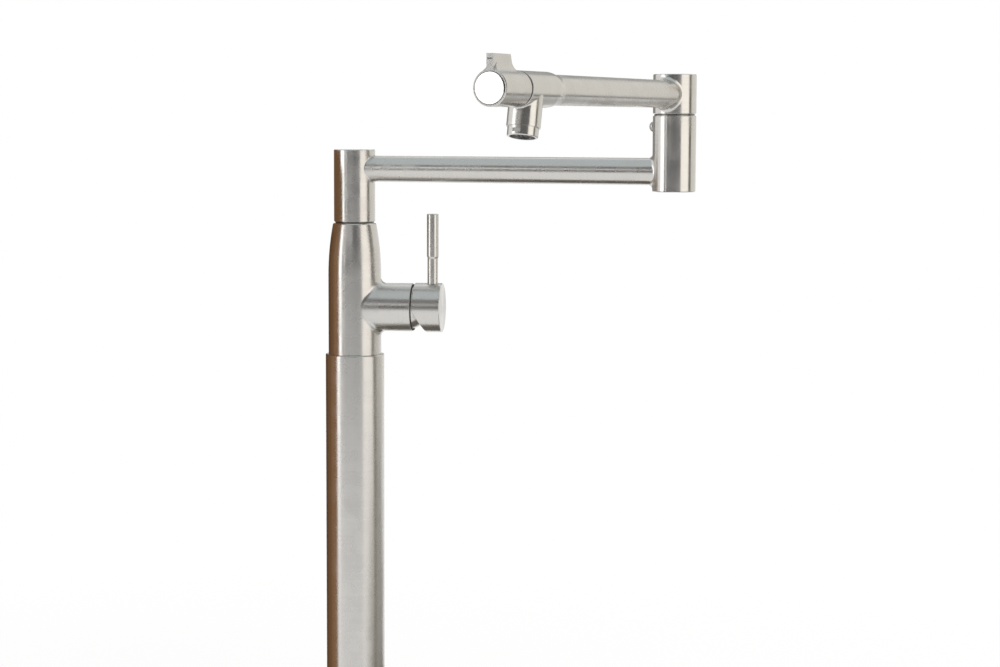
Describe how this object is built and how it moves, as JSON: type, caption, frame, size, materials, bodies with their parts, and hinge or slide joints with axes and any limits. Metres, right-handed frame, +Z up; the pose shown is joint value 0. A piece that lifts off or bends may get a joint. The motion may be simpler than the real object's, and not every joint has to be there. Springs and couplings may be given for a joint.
{
  "type": "single lever pillar tap",
  "caption": "Deck-mounted brushed steel pillar tap with a side lever mixer and a folding spout of two arms that ends in a tilted outlet with its own turn handle.",
  "frame": {"origin": "centre of the base on the worktop's top face", "axes": "+Z up the pillar, +X along the mixer's side branch, away from the pillar; the spout is stored as the picture shows it"},
  "size_m": [0.3214, 0.4127, 0.6477],
  "materials": {
    "brushed_stainless": "satin, brushed round the turned surfaces",
    "plain_stainless": "plain machined",
    "polished_stainless": "polished",
    "turned_brass": "turned",
    "copper_pipe": "drawn",
    "black_rubber": "matt",
    "dark_acetal": "moulded",
    "white_acetal": "moulded",
    "alumina_ceramic": "lapped"
  },
  "bodies": {
    "pillar": {"base_flange": "brushed_stainless", "base_gasket": "black_rubber", "mounting_shank": "turned_brass", "clamp_rubber_washer": "black_rubber", "clamp_washer": "plain_stainless", "lock_nut": "turned_brass", "inlet_block": "turned_brass", "hot_riser": "copper_pipe", "cold_riser": "copper_pipe", "pillar_tube": "brushed_stainless", "pillar_grub_screw": "plain_stainless", "valve_body": "brushed_stainless", "swivel_spigot": "turned_brass", "swivel_oring_near": "black_rubber", "swivel_oring_far": "black_rubber", "swivel_bearing": "dark_acetal", "cartridge_seal": "black_rubber", "cartridge_housing": "white_acetal", "fixed_disc": "alumina_ceramic", "cartridge_nut": "turned_brass", "cartridge_dome": "brushed_stainless", "dome_seal": "black_rubber"},
    "mixer_driver": {"mixer_driver": "white_acetal", "pivot_pin": "plain_stainless"},
    "mixing_disc": {"moving_disc": "alumina_ceramic", "disc_carrier": "white_acetal"},
    "lever": {"control_stem": "plain_stainless", "lever_cap": "brushed_stainless", "lever_rod": "brushed_stainless", "cap_grub_screw": "plain_stainless"},
    "lower_arm": {"swivel_head": "brushed_stainless", "head_grub_screw": "plain_stainless", "lower_arm_tube": "brushed_stainless", "outer_knuckle": "brushed_stainless", "knuckle_screw": "plain_stainless"},
    "upper_arm": {"upper_knuckle": "brushed_stainless", "elbow_spigot": "turned_brass", "elbow_oring_near": "black_rubber", "elbow_oring_far": "black_rubber", "elbow_bearing": "dark_acetal", "upper_arm_tube": "brushed_stainless", "outlet_valve_body": "brushed_stainless", "valve_headwork": "turned_brass", "headwork_oring": "black_rubber", "outlet_fixed_disc": "alumina_ceramic", "aerator_housing": "brushed_stainless", "aerator_insert": "dark_acetal", "aerator_washer": "black_rubber"},
    "outlet_handle": {"handle_ring": "brushed_stainless", "valve_spindle": "plain_stainless", "outlet_turning_disc": "alumina_ceramic", "handle_screw": "plain_stainless", "handle_cap": "polished_stainless"}
  },
  "joints": [
    {"name": "arm_swing", "type": "hinge", "parent": "pillar", "child": "lower_arm", "pos_m": [0, 0, 0.5], "axis": [0, 0, 1], "continuous": true},
    {"name": "arm_fold", "type": "hinge", "parent": "lower_arm", "child": "upper_arm", "pos_m": [0.27388, -0.05822, 0.5464], "axis": [0, 0, 1], "continuous": true},
    {"name": "lever_turn", "type": "hinge", "parent": "pillar", "child": "mixer_driver", "pos_m": [0.046, 0, 0.3822], "axis": [1, 0, 0], "range_deg": [-50, 50]},
    {"name": "lever_tilt", "type": "hinge", "parent": "mixer_driver", "child": "lever", "pos_m": [0.046, 0, 0.3822], "axis": [0, 1, 0], "range_deg": [0, 22]},
    {"name": "disc_slide", "type": "slide", "parent": "mixer_driver", "child": "mixing_disc", "axis": [0, 0, 1], "range_m": [0, 0.0039]},
    {"name": "outlet_handle_turn", "type": "hinge", "parent": "upper_arm", "child": "outlet_handle", "pos_m": [0.17347, -0.3515, 0.5624], "axis": [-0.3239, -0.9461, 0], "range_deg": [0, 90]}
  ],
  "couplings": [
    {"joint": "disc_slide", "follows": "lever_tilt", "m_per_rad": 0.01}
  ]
}
